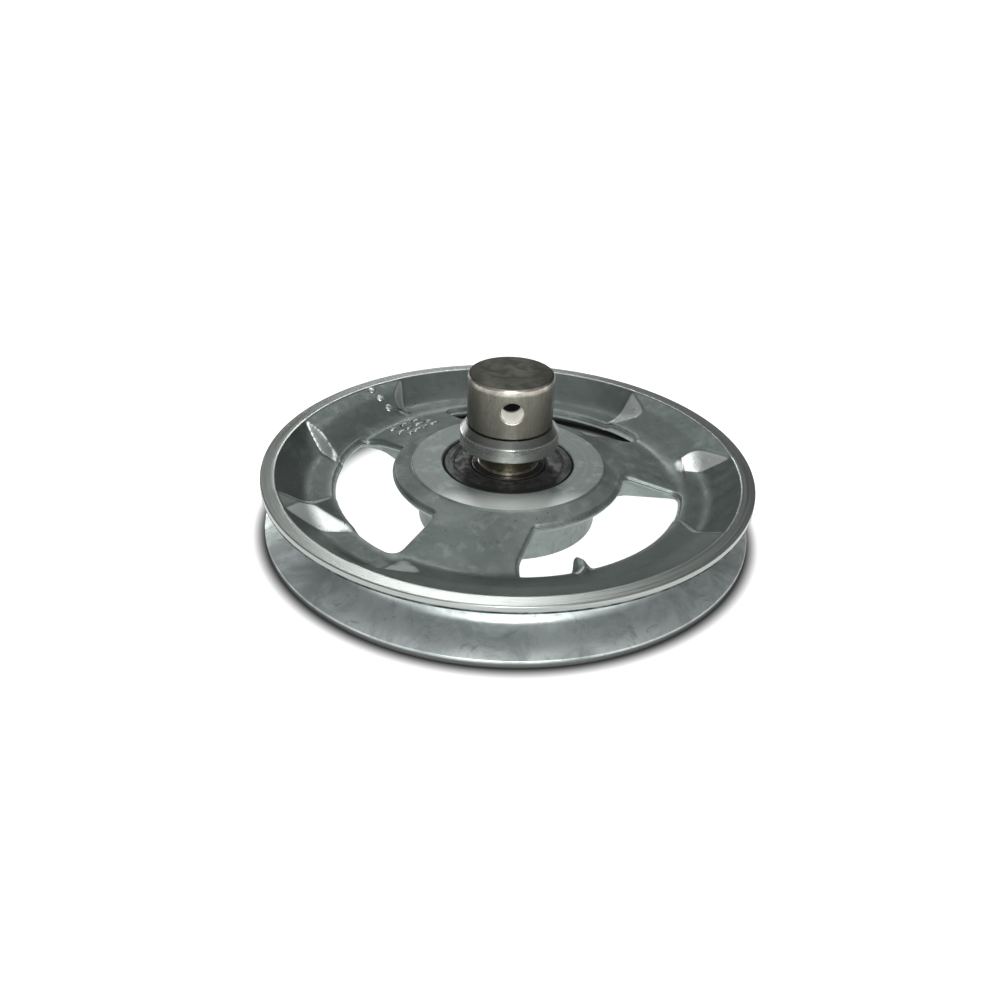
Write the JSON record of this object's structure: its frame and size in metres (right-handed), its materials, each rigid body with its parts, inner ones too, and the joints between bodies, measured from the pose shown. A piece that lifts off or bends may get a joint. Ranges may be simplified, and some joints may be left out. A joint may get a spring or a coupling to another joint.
{
  "type": "v belt pulley",
  "caption": "V-belt idler pulley: a cast wheel with a belt groove and open windows between its spokes, turning on a sealed ball bearing around a stub shaft with a cross-drilled head.",
  "frame": {"origin": "on the shaft's axis, in the plane the lower flange stands on", "axes": "+Z along the shaft towards its head; -Y out of the cross hole's near mouth"},
  "size_m": [0.192, 0.192, 0.0621],
  "materials": {
    "cast_aluminium": "satin as-cast skin with flow marks, machined flange edges and hub face",
    "bearing_steel_dark": "dark ground steel, greasy",
    "bearing_steel": "ground steel",
    "ball_steel": "polished",
    "cage_steel": "pressed sheet",
    "seal_rubber": "matte moulded rubber",
    "spring_steel": "bright edge, oiled",
    "oiled_steel": "brownish oiled steel with specks",
    "turned_steel": "bright turned"
  },
  "bodies": {
    "pulley_wheel": {"pulley_casting": "cast_aluminium", "bearing_outer_ring": "bearing_steel_dark", "bearing_seal_upper": "seal_rubber", "bearing_seal_lower": "seal_rubber"},
    "shaft_assembly": {"stub_shaft": "oiled_steel", "shaft_collar": "turned_steel", "shaft_circlips": "spring_steel", "bearing_inner_ring": "bearing_steel"},
    "ball_cage": {"bearing_cage_upper": "cage_steel", "bearing_cage_lower": "cage_steel", "bearing_cage_rivets": "cage_steel", "bearing_ball_1": "ball_steel", "bearing_ball_2": "ball_steel", "bearing_ball_3": "ball_steel", "bearing_ball_4": "ball_steel", "bearing_ball_5": "ball_steel", "bearing_ball_6": "ball_steel", "bearing_ball_7": "ball_steel"}
  },
  "joints": [
    {"name": "wheel_spin", "type": "hinge", "parent": "shaft_assembly", "child": "pulley_wheel", "pos_m": [0, 0, 0.0165], "axis": [0, 0, 1], "continuous": true},
    {"name": "cage_spin", "type": "hinge", "parent": "shaft_assembly", "child": "ball_cage", "pos_m": [0, 0, 0.0165], "axis": [0, 0, 1], "continuous": true}
  ],
  "couplings": [
    {"joint": "cage_spin", "follows": "wheel_spin", "ratio": 0.6323}
  ]
}
